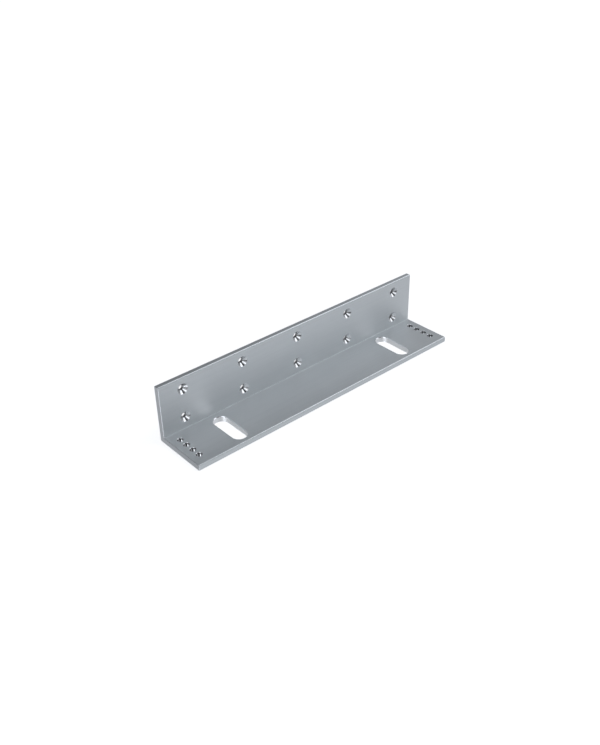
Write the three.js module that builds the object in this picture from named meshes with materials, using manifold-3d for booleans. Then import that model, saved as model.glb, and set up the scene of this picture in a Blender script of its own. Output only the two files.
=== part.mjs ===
// Mounting angle for an electromagnetic door lock: one length of extruded aluminium angle that is sawn
// off, drilled, countersunk and slotted. Millimetres, +Z up. The angle runs along X. Its upright flange
// stands at the back (+Y) and is screwed to the door frame; its lower flange lies on Z = 0 and carries the
// lock's magnet. The origin is the middle of the underside.
import * as THREE from "three";
import { mergeVertices } from "three/addons/utils/BufferGeometryUtils.js";
import Module from "manifold-3d";

// The stock: an equal angle.
const LENGTH = 268;
const FLANGE = 50;
const THICKNESS = 5;
const INNER_FILLET = 0.3;
const EDGE_RADIUS = 1;

// Two rows of countersunk holes through the upright flange, countersunk on the inner face.
const FIXING_COLUMNS = 5;
const FIXING_PITCH = 56.5;
const FIXING_HEIGHTS = [15, 40];
const FIXING_BORE = 4.2;
const FIXING_COUNTERSINK = 9;

// Two slots across the lower flange. The magnet's bolts slide in them, towards the door or away from it.
const SLOT_OFFSET = 89;
const SLOT_SETBACK = 22;
const SLOT_WIDTH = 12.5;
const SLOT_LENGTH = 35;
const SLOT_CHAMFER = 0.4;

// A row of four small holes beside each end of the lower flange, for the screw that locks the magnet.
const LOCKING_END_DISTANCE = 8;
const LOCKING_COUNT = 4;
const LOCKING_PITCH = 8;
const LOCKING_SETBACK = 23;
const LOCKING_BORE = 4.8;
const LOCKING_COUNTERSINK = 5.2;

const OVERCUT = 1;
const FIXING_SIDES = 40;
const LOCKING_SIDES = 24;
const ARC_STEPS = 8;
const EDGE_STEPS = 3;

const FRONT = -FLANGE / 2;
const BACK = FLANGE / 2;
const INNER_FACE = BACK - THICKNESS;

const wasm = await Module();
wasm.setup();

// A closed geometry as a solid for cutting and joining.
function toSolid(geometry) {
  const bare = geometry.clone();
  bare.deleteAttribute("normal");
  bare.deleteAttribute("uv");
  const merged = mergeVertices(bare);
  const vertProperties = merged.getAttribute("position").array;
  const triVerts = new Uint32Array(merged.index.array);
  return new wasm.Manifold(new wasm.Mesh({ numProp: 3, vertProperties, triVerts }));
}

// A solid as a flat-shaded geometry.
function toGeometry(solid) {
  const { vertProperties, triVerts } = solid.getMesh();
  const shared = new THREE.BufferGeometry();
  shared.setAttribute("position", new THREE.BufferAttribute(vertProperties, 3));
  shared.setIndex(new THREE.BufferAttribute(triVerts, 1));
  const flat = shared.toNonIndexed();
  flat.computeVertexNormals();
  return flat;
}

// A closed outline through right-angled corners [u, v, radius], each rounded by an arc of its radius.
function roundedOutline(corners) {
  const points = corners.map(([u, v]) => new THREE.Vector2(u, v));
  const outline = new THREE.Shape();
  corners.forEach(([, , radius], i) => {
    const corner = points[i];
    const incoming = corner.clone().sub(points.at(i - 1)).normalize();
    const outgoing = points[(i + 1) % points.length].clone().sub(corner).normalize();
    const start = corner.clone().addScaledVector(incoming, -radius);
    const centre = start.clone().addScaledVector(outgoing, radius);
    const clockwise = incoming.cross(outgoing) < 0;
    const startAngle = start.sub(centre).angle();
    const quarterTurn = clockwise ? -Math.PI / 2 : Math.PI / 2;
    outline.absarc(centre.x, centre.y, radius, startAngle, startAngle + quarterTurn, clockwise);
  });
  outline.closePath();
  return outline;
}

// The bare length of angle: its section, in Y and Z, extruded along X.
function angleStock() {
  const section = roundedOutline([
    [FRONT, 0, EDGE_RADIUS],
    [BACK, 0, EDGE_RADIUS],
    [BACK, FLANGE, EDGE_RADIUS],
    [INNER_FACE, FLANGE, EDGE_RADIUS],
    [INNER_FACE, THICKNESS, INNER_FILLET],
    [FRONT, THICKNESS, EDGE_RADIUS],
  ]);
  const options = { depth: LENGTH, curveSegments: EDGE_STEPS, bevelEnabled: false };
  const geometry = new THREE.ExtrudeGeometry(section, options);
  geometry.translate(0, 0, -LENGTH / 2);
  const alongX = new THREE.Matrix4().makeBasis(
    new THREE.Vector3(0, 1, 0),
    new THREE.Vector3(0, 0, 1),
    new THREE.Vector3(1, 0, 0),
  );
  return geometry.applyMatrix4(alongX);
}

// What a drill and a 90 degree countersink remove, along Y: the mouth is at Y = 0 and the bore runs to +Y.
function countersunkHole(bore, countersink, sides) {
  const narrow = bore / 2;
  const wide = countersink / 2;
  const profile = [
    [0, -OVERCUT],
    [wide, -OVERCUT],
    [wide, 0],
    [narrow, wide - narrow],
    [narrow, THICKNESS + OVERCUT],
    [0, THICKNESS + OVERCUT],
  ];
  return new THREE.LatheGeometry(
    profile.map(([radius, y]) => new THREE.Vector2(radius, y)),
    sides,
  );
}

// An outline with two straight sides along Y and two half-round ends.
function slotOutline(width, length) {
  const radius = width / 2;
  const straight = length / 2 - radius;
  const outline = new THREE.Shape();
  outline.absarc(0, straight, radius, 0, Math.PI, false);
  outline.absarc(0, -straight, radius, Math.PI, 2 * Math.PI, false);
  outline.closePath();
  return outline;
}

// What the slot cutter removes, with its underside at Z = 0. The lead-in at each mouth is the tapered end of
// a wider block that stands clear of the flange.
function slot() {
  const outline = slotOutline(SLOT_WIDTH, SLOT_LENGTH);
  const through = new THREE.ExtrudeGeometry(outline, {
    depth: THICKNESS + 2 * OVERCUT,
    curveSegments: ARC_STEPS,
    bevelEnabled: false,
  });
  through.translate(0, 0, -OVERCUT);
  const mouth = new THREE.ExtrudeGeometry(outline, {
    depth: OVERCUT,
    curveSegments: ARC_STEPS,
    bevelThickness: SLOT_CHAMFER,
    bevelSize: SLOT_CHAMFER,
    bevelSegments: 1,
  });
  const topMouth = mouth.clone().translate(0, 0, THICKNESS);
  const bottomMouth = mouth.clone().translate(0, 0, -OVERCUT);
  return toSolid(through).add(toSolid(topMouth)).add(toSolid(bottomMouth));
}

// Every hole in the upright flange.
function fixingHoles() {
  const hole = toSolid(countersunkHole(FIXING_BORE, FIXING_COUNTERSINK, FIXING_SIDES));
  const columns = Array.from(
    { length: FIXING_COLUMNS },
    (_, i) => (i - (FIXING_COLUMNS - 1) / 2) * FIXING_PITCH,
  );
  return columns.flatMap((x) => FIXING_HEIGHTS.map((z) => hole.translate([x, INNER_FACE, z])));
}

// Both slots in the lower flange.
function slots() {
  const cut = slot();
  return [-SLOT_OFFSET, SLOT_OFFSET].map((x) => cut.translate([x, FRONT + SLOT_SETBACK, 0]));
}

// Both rows of small holes in the lower flange, lightly countersunk on its upper face.
function lockingHoles() {
  const geometry = countersunkHole(LOCKING_BORE, LOCKING_COUNTERSINK, LOCKING_SIDES);
  const hole = toSolid(geometry.rotateX(-Math.PI / 2));
  const rowX = LENGTH / 2 - LOCKING_END_DISTANCE;
  const rowY = Array.from(
    { length: LOCKING_COUNT },
    (_, i) => FRONT + LOCKING_SETBACK + (i - (LOCKING_COUNT - 1) / 2) * LOCKING_PITCH,
  );
  return [-rowX, rowX].flatMap((x) => rowY.map((y) => hole.translate([x, y, THICKNESS])));
}

function angleBracket() {
  const cuts = [...fixingHoles(), ...slots(), ...lockingHoles()];
  const solid = cuts.reduce((rest, cut) => rest.subtract(cut), toSolid(angleStock()));
  const aluminium = new THREE.MeshStandardMaterial({
    color: 0x9ba1a8,
    roughness: 0.45,
    metalness: 1,
  });
  const mesh = new THREE.Mesh(toGeometry(solid), aluminium);
  mesh.name = "angle_bracket";
  return mesh;
}

const bracket = new THREE.Group();
bracket.add(angleBracket());

export default bracket;
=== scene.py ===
"""Looks of the mounting angle: a machined, satin-anodised aluminium extrusion in a soft white studio.

The bracket is rebuilt here at a finer level than the CAD solid: the same stock, holes and slots, with
rounded section corners, deburred ends and mouths, and a UV map, "lay", that follows the tool marks. The
origin is the middle of the underside, X runs along the angle and the upright flange stands at +Y.
"""

import math

import bmesh
import bpy
from mathutils import Matrix, Vector


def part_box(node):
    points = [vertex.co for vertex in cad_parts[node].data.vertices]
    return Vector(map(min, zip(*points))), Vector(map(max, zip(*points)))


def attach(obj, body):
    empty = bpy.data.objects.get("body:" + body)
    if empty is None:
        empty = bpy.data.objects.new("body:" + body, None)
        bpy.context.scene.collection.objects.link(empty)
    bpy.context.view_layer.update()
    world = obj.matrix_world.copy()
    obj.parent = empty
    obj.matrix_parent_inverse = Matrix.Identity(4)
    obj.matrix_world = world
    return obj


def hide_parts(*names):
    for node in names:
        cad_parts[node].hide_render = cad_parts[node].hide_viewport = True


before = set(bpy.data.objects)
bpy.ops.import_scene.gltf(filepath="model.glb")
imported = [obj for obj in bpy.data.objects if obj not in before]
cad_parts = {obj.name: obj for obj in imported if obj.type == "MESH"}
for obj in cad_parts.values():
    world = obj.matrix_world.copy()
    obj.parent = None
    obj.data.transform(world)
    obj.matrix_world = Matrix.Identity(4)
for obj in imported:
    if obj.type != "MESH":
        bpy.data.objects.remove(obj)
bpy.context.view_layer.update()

MM = 0.001

# Sizes of the part, as in the CAD model.
LOW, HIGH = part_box("angle_bracket")
LENGTH = HIGH.x - LOW.x
FRONT, BACK = LOW.y, HIGH.y
TOP = HIGH.z
THICKNESS = 5 * MM
INNER_FACE = BACK - THICKNESS
INNER_FILLET = 0.3 * MM
EDGE_RADIUS = 1 * MM

FIXING_COLUMNS = 5
FIXING_PITCH = 56.5 * MM
FIXING_HEIGHTS = (15 * MM, 40 * MM)
FIXING_BORE = 4.2 * MM
FIXING_COUNTERSINK = 9 * MM

SLOT_OFFSET = 89 * MM
SLOT_SETBACK = 22 * MM
SLOT_WIDTH = 12.5 * MM
SLOT_LENGTH = 35 * MM
SLOT_CHAMFER = 0.4 * MM

LOCKING_END_DISTANCE = 8 * MM
LOCKING_COUNT = 4
LOCKING_PITCH = 8 * MM
LOCKING_SETBACK = 23 * MM
LOCKING_BORE = 4.8 * MM
LOCKING_COUNTERSINK = 5.2 * MM

# Finer than the CAD model: the broken edges of the sawn ends and of the drilled mouths.
END_CHAMFER = 0.2 * MM
DEBURR = 0.12 * MM

# The profile of a countersink's broken mouth: (outwards, inwards) from its sharp edge, in deburr widths.
MOUTH_BREAK = ((1, 0), (0.4, 0.25), (-0.2, 0.8))

OVERCUT = 1 * MM
ARC_STEPS = 6
HOLE_SIDES = 96
SHARP_ANGLE = math.radians(35)
MERGE_DISTANCE = 1e-7

# Material slots of the bracket, one for each way its surface was made.
EXTRUDED, SAWN, COUNTERSUNK, BORED, REAMED, MILLED = range(6)


# ---------------------------------------------------------------- geometry


def rounded_outline(corners, steps):
    """Points of a closed outline through right-angled corners (u, v, radius), each rounded by an arc."""
    points = []
    count = len(corners)
    for i, (u, v, radius) in enumerate(corners):
        corner = Vector((u, v))
        incoming = (corner - Vector(corners[i - 1][:2])).normalized()
        outgoing = (Vector(corners[(i + 1) % count][:2]) - corner).normalized()
        centre = corner + (outgoing - incoming) * radius
        for step in range(steps + 1):
            angle = math.pi / 2 * step / steps
            spoke = incoming * math.sin(angle) - outgoing * math.cos(angle)
            points.append(centre + spoke * radius)
    return points


def section(inset):
    """The angle's section in Y and Z, drawn in by inset all round."""
    outer = EDGE_RADIUS - inset
    fillet = INNER_FILLET + inset
    return rounded_outline(
        [
            (FRONT + inset, LOW.z + inset, outer),
            (BACK - inset, LOW.z + inset, outer),
            (BACK - inset, TOP - inset, outer),
            (INNER_FACE + inset, TOP - inset, outer),
            (INNER_FACE + inset, THICKNESS - inset, fillet),
            (FRONT + inset, THICKNESS - inset, outer),
        ],
        ARC_STEPS,
    )


def mesh_of_rings(name, rings, materials):
    """A closed mesh through equal rings of points, with a material index for each cap and each span."""
    bm = bmesh.new()
    made = [[bm.verts.new(point) for point in ring] for ring in rings]
    sides = len(rings[0])
    for span, (here, there) in enumerate(zip(made, made[1:])):
        for i in range(sides):
            j = (i + 1) % sides
            face = bm.faces.new((here[i], here[j], there[j], there[i]))
            face.material_index = materials[span + 1]
    bm.faces.new(reversed(made[0])).material_index = materials[0]
    bm.faces.new(made[-1]).material_index = materials[-1]
    bmesh.ops.recalc_face_normals(bm, faces=bm.faces)
    mesh = bpy.data.meshes.new(name)
    bm.to_mesh(mesh)
    bm.free()
    return mesh


def stock_mesh():
    """The sawn length of angle, its ends lightly chamfered."""
    half = LENGTH / 2
    stations = (
        (-half, END_CHAMFER),
        (-half + END_CHAMFER, 0),
        (half - END_CHAMFER, 0),
        (half, END_CHAMFER),
    )
    rings = [[(x, point.x, point.y) for point in section(inset)] for x, inset in stations]
    return mesh_of_rings("stock", rings, (SAWN, SAWN, EXTRUDED, SAWN, SAWN))


def cutter_mesh(name, travel, profile):
    """What a round tool removes, from (radius, depth, material) rows, depth growing along -Z from Z = 0.

    The material is that of the wall between a row and the next. With travel above 0 the tool also moves
    that far along Y, and leaves a slot with half-round ends. Points start half a step round, so that none
    lies where the two ends part.
    """
    rings = []
    for radius, depth, _ in profile:
        ring = []
        for i in range(HOLE_SIDES):
            angle = 2 * math.pi * (i + 0.5) / HOLE_SIDES
            shift = math.copysign(travel / 2, math.sin(angle))
            ring.append((radius * math.cos(angle), radius * math.sin(angle) + shift, -depth))
        rings.append(ring)
    materials = [material for _, _, material in profile]
    return mesh_of_rings(name, rings, [materials[0], *materials])


def countersunk_profile(bore, countersink, wall):
    """A drilled hole with a 90 degree countersink, its mouth and its far edge deburred."""
    narrow, wide = bore / 2, countersink / 2
    mouth = [(wide + DEBURR * out, DEBURR * inward, COUNTERSUNK) for out, inward in MOUTH_BREAK]
    cone_radius, cone_depth, _ = mouth[-1]
    return [
        (wide + DEBURR, -OVERCUT, COUNTERSUNK),
        *mouth,
        (narrow, cone_depth + cone_radius - narrow, wall),
        (narrow, THICKNESS - DEBURR, COUNTERSUNK),
        (narrow + DEBURR, THICKNESS, COUNTERSUNK),
        (narrow + DEBURR, THICKNESS + OVERCUT, COUNTERSUNK),
    ]


def slot_profile():
    """The straight wall of a slot with a small chamfer at each mouth."""
    radius = SLOT_WIDTH / 2
    wide = radius + SLOT_CHAMFER
    return [
        (wide, -OVERCUT, COUNTERSUNK),
        (wide, 0, COUNTERSUNK),
        (radius, SLOT_CHAMFER, MILLED),
        (radius, THICKNESS - SLOT_CHAMFER, COUNTERSUNK),
        (wide, THICKNESS, COUNTERSUNK),
        (wide, THICKNESS + OVERCUT, COUNTERSUNK),
    ]


def evenly(count, pitch):
    """count places, pitch apart, centred on 0."""
    return [(i - (count - 1) / 2) * pitch for i in range(count)]


def cut_places():
    """(kind, matrix) for every cut. The matrix puts a cutter's mouth on its face with its axis across it."""
    facing_front = Matrix.Rotation(math.radians(90), 4, "X")
    places = []
    for x in evenly(FIXING_COLUMNS, FIXING_PITCH):
        for z in FIXING_HEIGHTS:
            places.append(("fixing", Matrix.Translation((x, INNER_FACE, z)) @ facing_front))
    for side in (-1, 1):
        slot_at = Vector((side * SLOT_OFFSET, FRONT + SLOT_SETBACK, THICKNESS))
        places.append(("slot", Matrix.Translation(slot_at)))
        for y in evenly(LOCKING_COUNT, LOCKING_PITCH):
            x = side * (LENGTH / 2 - LOCKING_END_DISTANCE)
            hole_at = Vector((x, FRONT + LOCKING_SETBACK + y, THICKNESS))
            places.append(("locking", Matrix.Translation(hole_at)))
    return places


def cutters_mesh(places):
    """Every cutter in its place, as one mesh."""
    fixing = countersunk_profile(FIXING_BORE, FIXING_COUNTERSINK, BORED)
    locking = countersunk_profile(LOCKING_BORE, LOCKING_COUNTERSINK, REAMED)
    kinds = {
        "fixing": cutter_mesh("fixing", 0, fixing),
        "locking": cutter_mesh("locking", 0, locking),
        "slot": cutter_mesh("slot", SLOT_LENGTH - SLOT_WIDTH, slot_profile()),
    }
    bm = bmesh.new()
    for kind, place in places:
        cutter = kinds[kind].copy()
        cutter.transform(place)
        bm.from_mesh(cutter)
        bpy.data.meshes.remove(cutter)
    joined = bpy.data.meshes.new("cutters")
    bm.to_mesh(joined)
    bm.free()
    for mesh in kinds.values():
        bpy.data.meshes.remove(mesh)
    return joined


def cut_stock(places, materials):
    """The stock with every hole and slot cut, as a new mesh."""
    stock = bpy.data.objects.new("stock", stock_mesh())
    tool = bpy.data.objects.new("tool", cutters_mesh(places))
    for piece in (stock, tool):
        for material in materials:
            piece.data.materials.append(material)
        bpy.context.scene.collection.objects.link(piece)
    cut = stock.modifiers.new("cut", "BOOLEAN")
    cut.operation = "DIFFERENCE"
    cut.solver = "EXACT"
    cut.object = tool
    depsgraph = bpy.context.evaluated_depsgraph_get()
    mesh = bpy.data.meshes.new_from_object(stock.evaluated_get(depsgraph))
    for piece in (stock, tool):
        data = piece.data
        bpy.data.objects.remove(piece)
        bpy.data.meshes.remove(data)
    return mesh


# --------------------------------------------------------------- tool marks


def nearest_cut(point, places):
    """The (kind, matrix) of the cut whose wall the point is on."""

    def distance(entry):
        kind, place = entry
        local = place.inverted() @ point
        travel = (SLOT_LENGTH - SLOT_WIDTH) / 2 if kind == "slot" else 0
        return math.hypot(local.x, max(abs(local.y) - travel, 0))

    return min(places, key=distance)


def slot_lay(to_local, middle):
    """(up the wall, along the wall) for the points of a face of a slot that has its middle there."""
    half_travel = (SLOT_LENGTH - SLOT_WIDTH) / 2
    end = 0 if abs(middle.y) <= half_travel else math.copysign(1, middle.y)

    def marks(point):
        local = to_local @ point
        if end == 0:
            return local.z, local.y
        turn = math.atan2(end * local.y - half_travel, local.x)
        return local.z, end * (half_travel + turn * SLOT_WIDTH / 2)

    return marks


def round_lay(to_local, middle):
    """(around the hole, down the wall) for the points of a face of a round hole with its middle there.

    Lengths around both kinds of hole are those at the fixing bore, which is near enough for tool marks.
    """
    middle_turn = math.atan2(middle.y, middle.x)

    def marks(point):
        local = to_local @ point
        turn = math.atan2(local.y, local.x) - middle_turn
        turn = (turn + math.pi) % (2 * math.pi) - math.pi + middle_turn
        return turn * FIXING_BORE / 2, math.hypot(local.x, local.y) - local.z

    return marks


def lay_of(face, places):
    """A function from a point of the face to (along, across) the marks its tool left there, in metres."""
    if face.material_index in (EXTRUDED, SAWN):
        return lambda point: (point.x, point.y + point.z)
    middle = face.calc_center_median()
    kind, place = nearest_cut(middle, places)
    to_local = place.inverted()
    lay = slot_lay if kind == "slot" else round_lay
    return lay(to_local, to_local @ middle)


def finish_mesh(mesh, places):
    """Cleans up after the cut and adds the "lay" UV map, in millimetres, and smooth shading with creases."""
    bm = bmesh.new()
    bm.from_mesh(mesh)
    bmesh.ops.remove_doubles(bm, verts=bm.verts, dist=MERGE_DISTANCE)
    bmesh.ops.dissolve_degenerate(bm, edges=bm.edges, dist=MERGE_DISTANCE)
    lay = bm.loops.layers.uv.new("lay")
    for face in bm.faces:
        face.smooth = True
        marks = lay_of(face, places)
        for loop in face.loops:
            loop[lay].uv = Vector(marks(loop.vert.co)) / MM
    bm.to_mesh(mesh)
    bm.free()
    mesh.set_sharp_from_angle(angle=SHARP_ANGLE)


def make_bracket(materials):
    """The bracket, with a material for each slot, on the body and in the place of its CAD solid."""
    places = cut_places()
    mesh = cut_stock(places, materials)
    finish_mesh(mesh, places)
    mesh.name = "mounting_angle"
    bracket = bpy.data.objects.new("mounting_angle", mesh)
    bpy.context.scene.collection.objects.link(bracket)
    flat = bracket.modifiers.new("flat faces stay flat", "WEIGHTED_NORMAL")
    flat.keep_sharp = True
    flat.weight = 100
    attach(bracket, "root")
    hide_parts("angle_bracket")
    return bracket


# --------------------------------------------------------------- materials


class Surface:
    """A metal material under construction: short names for the nodes that it is made of.

    Each finish below is noise at the scale of its tool marks. The noise drives the colour between two
    tones, the roughness, and a relief that is a few thousandths of a millimetre high.
    """

    def __init__(self, name):
        self.material = bpy.data.materials.new(name)
        self.material.use_nodes = True
        self.tree = self.material.node_tree
        self.shader = self.tree.nodes["Principled BSDF"]
        self.shader.inputs["Metallic"].default_value = 1

    def node(self, kind, inputs, **settings):
        """A node with its settings, and its inputs given as numbers or as other nodes' outputs."""
        node = self.tree.nodes.new(kind)
        for key, value in settings.items():
            setattr(node, key, value)
        for key, value in inputs.items():
            if isinstance(value, bpy.types.NodeSocket):
                self.tree.links.new(value, node.inputs[key])
            else:
                node.inputs[key].default_value = value
        return node

    def place(self, wavelengths, turn=(0, 0, 0)):
        """Object coordinates, turned, with one unit for each of the three wavelengths, in metres."""
        source = self.node("ShaderNodeTexCoord", {}).outputs["Object"]
        turned = self.node("ShaderNodeMapping", {"Vector": source, "Rotation": turn}).outputs[0]
        scale = [1 / wavelength for wavelength in wavelengths]
        return self.node("ShaderNodeMapping", {"Vector": turned, "Scale": scale}).outputs[0]

    def lay(self, along, across):
        """The "lay" map with one unit for each wavelength along and across the marks, in metres."""
        source = self.node("ShaderNodeUVMap", {}, uv_map="lay").outputs["UV"]
        scale = (MM / along, MM / across, 1)
        return self.node("ShaderNodeMapping", {"Vector": source, "Scale": scale}).outputs[0]

    def noise(self, where, detail=2.0):
        """Smooth noise between 0 and 1, about one bump for each unit."""
        inputs = {"Vector": where, "Scale": 1.0, "Detail": detail, "Roughness": 0.55}
        return self.node("ShaderNodeTexNoise", inputs).outputs["Fac"]

    def spread(self, value, low, high, to_low, to_high):
        """value carried from low..high to to_low..to_high, and held inside it."""
        inputs = {
            "Value": value,
            "From Min": low,
            "From Max": high,
            "To Min": to_low,
            "To Max": to_high,
        }
        return self.node("ShaderNodeMapRange", inputs).outputs["Result"]

    def vary(self, noise, low, high):
        """Noise, nearly all of which lies between 0.3 and 0.7, carried to low..high."""
        return self.spread(noise, 0.3, 0.7, low, high)

    def math(self, operation, first, second):
        """The result of a math node on two values."""
        return self.node("ShaderNodeMath", {0: first, 1: second}, operation=operation).outputs[0]

    def blend(self, factor, dark, light):
        """A colour between dark and light."""
        inputs = {"Fac": factor, "Color1": (*dark, 1), "Color2": (*light, 1)}
        return self.node("ShaderNodeMixRGB", inputs).outputs["Color"]

    def mix(self, *parts):
        """The sum of (value, weight) parts."""
        weighted = [self.math("MULTIPLY", value, weight) for value, weight in parts]
        total = weighted[0]
        for part in weighted[1:]:
            total = self.math("ADD", total, part)
        return total

    def relief(self, height, depth, under=None):
        """A normal for bumps of this height, from 0 to 1, that stand depth metres proud."""
        inputs = {"Height": height, "Distance": depth, "Strength": 1.0}
        if under is not None:
            inputs["Normal"] = under
        return self.node("ShaderNodeBump", inputs).outputs["Normal"]

    def corner(self):
        """1 on a rounded or chamfered edge between two square faces, 0 on the faces."""
        normal = self.node("ShaderNodeTexCoord", {}).outputs["Normal"]
        parts = self.node("ShaderNodeSeparateXYZ", {"Vector": normal}).outputs
        sizes = [self.math("ABSOLUTE", part, 0.0) for part in parts]
        largest = self.math("MAXIMUM", self.math("MAXIMUM", sizes[0], sizes[1]), sizes[2])
        return self.spread(largest, 0.98, 0.8, 0.0, 1.0)

    def finish(self, colour, roughness, normal):
        """The material, with the shader's three varying inputs connected."""
        links = self.tree.links
        links.new(colour, self.shader.inputs["Base Color"])
        links.new(roughness, self.shader.inputs["Roughness"])
        links.new(normal, self.shader.inputs["Normal"])
        return self.material


MICRON = 0.001 * MM
SAW_SLANT = math.radians(22)


def extruded_aluminium():
    """Etched and clear-anodised extrusion: die lines along X, a fine matt grain and faint clouding.

    Its rounded corners and inner fillet are smoother than its faces.
    """
    surface = Surface("extruded")
    clouds = surface.noise(surface.place((40 * MM, 18 * MM, 18 * MM)), 3.0)
    bands = surface.noise(surface.place((400 * MM, 2.2 * MM, 2.2 * MM)), 3.0)
    lines = surface.noise(surface.place((60 * MM, 0.22 * MM, 0.22 * MM)), 2.0)
    grain = surface.noise(surface.place((0.16 * MM, 0.16 * MM, 0.16 * MM)), 3.0)
    corner = surface.corner()

    mottle = surface.mix((clouds, 0.3), (bands, 0.3), (lines, 0.2), (grain, 0.2))
    tone = surface.spread(mottle, 0.38, 0.62, 0.0, 1.0)
    colour = surface.blend(tone, (0.690, 0.715, 0.727), (0.752, 0.775, 0.785))

    matt = surface.vary(bands, 0.46, 0.52)
    matt = surface.math("ADD", matt, surface.vary(clouds, -0.02, 0.02))
    roughness = surface.math("SUBTRACT", matt, surface.math("MULTIPLY", corner, 0.24))

    normal = surface.relief(lines, 5 * MICRON)
    normal = surface.relief(grain, 8 * MICRON, normal)
    return surface.finish(colour, roughness, normal)


def sawn_aluminium():
    """Saw-cut ends: slanting teeth marks of uneven depth under the same anodising."""
    surface = Surface("sawn")
    slant = (SAW_SLANT, 0, 0)
    strokes = surface.noise(surface.place((30 * MM, 30 * MM, 0.5 * MM), slant), 4.0)
    fine = surface.noise(surface.place((8 * MM, 8 * MM, 0.12 * MM), slant), 2.0)
    corner = surface.corner()
    tone = surface.vary(strokes, 0.0, 1.0)
    colour = surface.blend(tone, (0.74, 0.76, 0.78), (0.83, 0.84, 0.85))
    roughness = surface.vary(fine, 0.34, 0.46)
    roughness = surface.math("SUBTRACT", roughness, surface.math("MULTIPLY", corner, 0.12))
    normal = surface.relief(strokes, 14 * MICRON)
    normal = surface.relief(fine, 4 * MICRON, normal)
    return surface.finish(colour, roughness, normal)


def countersunk_aluminium():
    """Cones and deburred edges left by a countersink: bright, with fine rings and a little chatter."""
    surface = Surface("countersunk")
    rings = surface.noise(surface.lay(20 * MM, 0.12 * MM), 2.0)
    chatter = surface.noise(surface.lay(0.9 * MM, 4 * MM), 1.0)
    colour = surface.blend(rings, (0.80, 0.81, 0.82), (0.90, 0.905, 0.91))
    roughness = surface.vary(rings, 0.10, 0.18)
    normal = surface.relief(rings, 1 * MICRON)
    normal = surface.relief(chatter, 3 * MICRON, normal)
    return surface.finish(colour, roughness, normal)


def bored_aluminium_painted_shade():
    """Drilled walls: coarse rings. How dull they are was tuned to the photo: their dark colour is painted
    shade, darkening the walls inside the bores.
    """
    surface = Surface("bored")
    rings = surface.noise(surface.lay(12 * MM, 0.25 * MM), 3.0)
    tone = surface.spread(rings, 0.35, 0.65, 0.0, 1.0)
    # Painted shade: the walls are coloured dark to stand for the shade deep inside the bores.
    colour = surface.blend(tone, (0.46, 0.47, 0.48), (0.60, 0.61, 0.62))
    roughness = surface.vary(rings, 0.26, 0.38)
    normal = surface.relief(rings, 6 * MICRON)
    return surface.finish(colour, roughness, normal)


def reamed_aluminium_painted_shade():
    """Walls of the small holes: smooth. How dark they are was tuned to the photo; the dark colour is painted
    shade, standing for the shade inside the holes.
    """
    surface = Surface("reamed")
    rings = surface.noise(surface.lay(20 * MM, 0.3 * MM), 2.0)
    # Painted shade: the walls are coloured dark to stand for the shade inside the small holes.
    colour = surface.blend(rings, (0.31, 0.315, 0.32), (0.40, 0.405, 0.41))
    roughness = surface.vary(rings, 0.08, 0.14)
    normal = surface.relief(rings, 1 * MICRON)
    return surface.finish(colour, roughness, normal)


def milled_aluminium_painted_light():
    """Slot walls: upright cutter marks. How pale and matt they are was tuned to the photo; the pale colour
    is painted light, standing for light bounced off the floor into the slots.
    """
    surface = Surface("milled")
    steps = surface.noise(surface.lay(25 * MM, 0.45 * MM), 2.0)
    fine = surface.noise(surface.lay(6 * MM, 0.1 * MM), 2.0)
    tone = surface.vary(steps, 0.0, 1.0)
    # Painted light: the walls are coloured paler than the faces to stand for light bounced off the floor
    # into the slots.
    colour = surface.blend(tone, (0.86, 0.87, 0.88), (0.94, 0.945, 0.95))
    roughness = surface.vary(fine, 0.50, 0.60)
    surface.shader.inputs["Metallic"].default_value = 0.7
    normal = surface.relief(steps, 5 * MICRON)
    normal = surface.relief(fine, 1 * MICRON, normal)
    return surface.finish(colour, roughness, normal)


# ------------------------------------------------------------------ studio


STAGE_RADIUS = 6
STAGE_SEGMENTS = 64
FLOOR_WHITENESS = 0.9
FLOOR_GLOW = 0.62

CAMERA_AIM = Vector((-15.0, 0.0, 21.1)) * MM
CAMERA_AZIMUTH = math.radians(-40.50)
CAMERA_ELEVATION = math.radians(32.68)
CAMERA_DISTANCE = 0.7045
CAMERA_ROLL = math.radians(-1.37)
CAMERA_LENS = 42.44
SENSOR_WIDTH = 36

# The soft boxes, and the dark gaps between them, which have a strength below 0: (azimuth, elevation, half
# angle, softness, strength), in degrees. They add to the even light, which nowhere falls below the least.
# They were placed by trial until the render's tones came near the photo's, so they are no measured studio.
PANELS = (
    (75, 54, 16, 6, 1.15),
    (50, 41, 7, 3, 1.3),
    (66, 28, 8, 3, 1.1),
    (-70, 54, 15, 5, 0.9),
    (-33, 29, 9, 4, 1.0),
    (-76, -43, 11, 4, 3.0),
    (-84, -28, 10, 4, 3.2),
    (8, 46, 10, 5, -0.44),
    (-45, -11, 9, 4, -0.42),
    (-16, -38, 22, 5, -0.44),
    (-126, -38, 16, 5, -0.44),
    (104, -40, 14, 5, 0.5),
    (-176, -40, 12, 6, -0.40),
    (38, 34, 20, 10, -0.14),
    (20, -35, 26, 14, 0.34),
    (0, -90, 28, 8, 0.45),
    (-150, -35, 12, 7, 0.35),
    (-150, 22, 36, 14, -0.28),
    (168, 38, 24, 14, -0.36),
    (140, -42, 15, 7, -0.42),
    (122, -12, 20, 9, 0.30),
    (68, -33, 7, 3, 0.25),
)
EVEN_LIGHT = 0.44
LEAST_LIGHT = 0.02
LIGHT_TINT = (0.965, 1.0, 1.055, 1)


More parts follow.
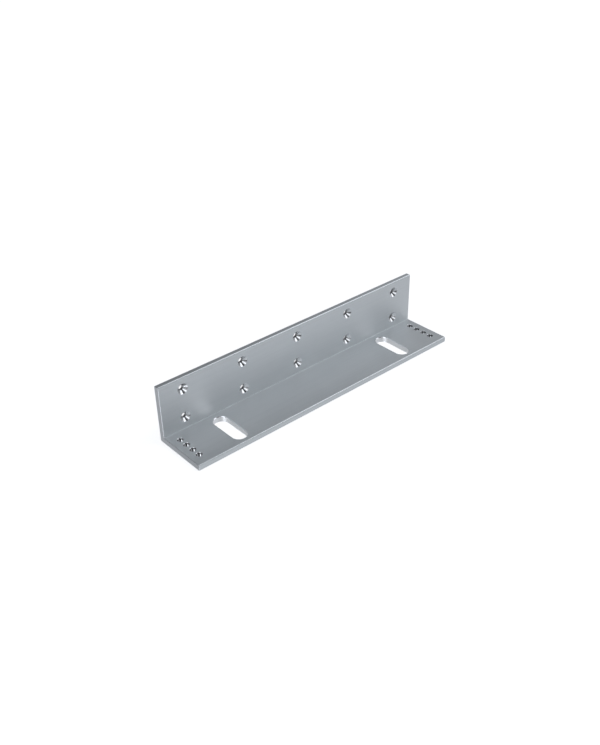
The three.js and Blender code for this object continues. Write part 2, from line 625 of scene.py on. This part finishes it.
def stage_piece(name, mesh, whiteness, glow):
    """A matt, evenly glowing piece of the studio that the metal doesn't mirror."""
    material = bpy.data.materials.new(name)
    material.use_nodes = True
    shader = material.node_tree.nodes["Principled BSDF"]
    shader.inputs["Base Color"].default_value = (whiteness, whiteness, whiteness, 1)
    shader.inputs["Roughness"].default_value = 0.9
    shader.inputs["Emission Color"].default_value = (1, 1, 1, 1)
    shader.inputs["Emission Strength"].default_value = glow
    mesh.materials.append(material)
    piece = bpy.data.objects.new(name, mesh)
    bpy.context.scene.collection.objects.link(piece)
    piece.visible_glossy = False
    return piece


def make_floor():
    """The pale disc on which the part stands."""
    bm = bmesh.new()
    bmesh.ops.create_circle(bm, cap_ends=True, segments=STAGE_SEGMENTS, radius=STAGE_RADIUS)
    mesh = bpy.data.meshes.new("floor")
    bm.to_mesh(mesh)
    bm.free()
    stage_piece("floor", mesh, FLOOR_WHITENESS, FLOOR_GLOW)


def make_backdrop():
    """A white dome that stands on the rim of the floor. It is only a background and sheds no light."""
    bm = bmesh.new()
    bands = STAGE_SEGMENTS // 2
    bmesh.ops.create_uvsphere(bm, u_segments=STAGE_SEGMENTS, v_segments=bands, radius=STAGE_RADIUS)
    bmesh.ops.reverse_faces(bm, faces=bm.faces)
    mesh = bpy.data.meshes.new("backdrop")
    bm.to_mesh(mesh)
    bm.free()
    backdrop = stage_piece("backdrop", mesh, 0, 1)
    backdrop.visible_diffuse = False
    backdrop.visible_shadow = False
    backdrop.visible_transmission = False
    backdrop.visible_volume_scatter = False


def towards(azimuth, elevation):
    """The direction from the part: azimuth 0 is straight in front and grows to the right."""
    return Vector(
        (
            math.sin(azimuth) * math.cos(elevation),
            -math.cos(azimuth) * math.cos(elevation),
            math.sin(elevation),
        )
    )


def make_camera():
    """The camera, looking down on the part from the front left."""
    data = bpy.data.cameras.new("camera")
    data.lens = CAMERA_LENS
    data.sensor_width = SENSOR_WIDTH
    camera = bpy.data.objects.new("camera", data)
    bpy.context.scene.collection.objects.link(camera)
    back = towards(CAMERA_AZIMUTH, CAMERA_ELEVATION)
    camera.location = CAMERA_AIM + back * CAMERA_DISTANCE
    level = back.to_track_quat("Z", "Y").to_matrix()
    camera.rotation_euler = (level @ Matrix.Rotation(CAMERA_ROLL, 3, "Z")).to_euler()
    bpy.context.scene.camera = camera


def panel(nodes, links, direction, azimuth, elevation, half_angle, softness, strength):
    """A round patch of light in the world, soft at its edge, as the output of a node."""
    toward = nodes.new("ShaderNodeVectorMath")
    toward.operation = "DOT_PRODUCT"
    toward.inputs[1].default_value = towards(math.radians(azimuth), math.radians(elevation))
    links.new(direction, toward.inputs[0])
    patch = nodes.new("ShaderNodeMapRange")
    patch.interpolation_type = "SMOOTHSTEP"
    patch.inputs["From Min"].default_value = math.cos(math.radians(half_angle + softness))
    patch.inputs["From Max"].default_value = math.cos(math.radians(half_angle - softness))
    patch.inputs["To Min"].default_value = 0
    patch.inputs["To Max"].default_value = strength
    links.new(toward.outputs["Value"], patch.inputs["Value"])
    return patch.outputs["Result"]


def make_world():
    """A world that is the even light and every panel added up."""
    world = bpy.data.worlds.new("studio")
    world.use_nodes = True
    nodes, links = world.node_tree.nodes, world.node_tree.links
    background = nodes["Background"]
    direction = nodes.new("ShaderNodeTexCoord").outputs["Generated"]
    total = None
    for values in PANELS:
        patch = panel(nodes, links, direction, *values)
        add = nodes.new("ShaderNodeMath")
        add.operation = "ADD"
        if total is None:
            add.inputs[0].default_value = EVEN_LIGHT
        else:
            links.new(total, add.inputs[0])
        links.new(patch, add.inputs[1])
        total = add.outputs[0]
    least = nodes.new("ShaderNodeMath")
    least.operation = "MAXIMUM"
    least.inputs[1].default_value = LEAST_LIGHT
    links.new(total, least.inputs[0])
    links.new(least.outputs[0], background.inputs["Strength"])
    background.inputs["Color"].default_value = LIGHT_TINT
    bpy.context.scene.world = world


make_camera()
make_world()
make_floor()
make_backdrop()
make_bracket(
    [
        extruded_aluminium(),
        sawn_aluminium(),
        countersunk_aluminium(),
        bored_aluminium_painted_shade(),
        reamed_aluminium_painted_shade(),
        milled_aluminium_painted_light(),
    ]
)
bpy.context.scene.view_settings.view_transform = "Standard"
